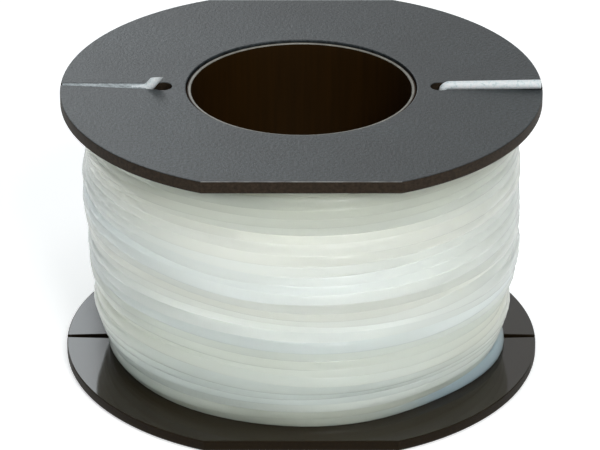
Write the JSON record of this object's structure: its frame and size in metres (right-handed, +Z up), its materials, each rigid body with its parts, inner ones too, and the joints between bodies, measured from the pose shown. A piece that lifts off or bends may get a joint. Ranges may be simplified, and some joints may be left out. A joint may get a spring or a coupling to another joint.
{
  "type": "reel of trimmer line",
  "caption": "Low flanged reel wound full of round translucent nylon trimmer line, with a wide spindle bore, flats on the flanges and keyhole slots that grip the line's ends.",
  "frame": {"origin": "centre of the lower flange's underside, on the reel's axis", "axes": "+Z up the reel's axis, from the lower flange to the upper one; X runs through both line slots (the line's start is in the +X slot, its free end in the -X slot); the flanges' flats face -Y (front) and +Y"},
  "size_m": [0.08, 0.0734, 0.051],
  "materials": {
    "textured_flange": "spark-eroded matte",
    "smooth_flange": "smooth moulded",
    "core_plastic": "moulded satin",
    "nylon_line": "milky translucent"
  },
  "bodies": {
    "root": {"upper_flange": "textured_flange", "lower_flange": "smooth_flange", "core_tube": "core_plastic", "line_pack": "nylon_line", "line_outer_layer": "nylon_line", "line_start_tail": "nylon_line", "line_free_end": "nylon_line"}
  },
  "joints": []
}
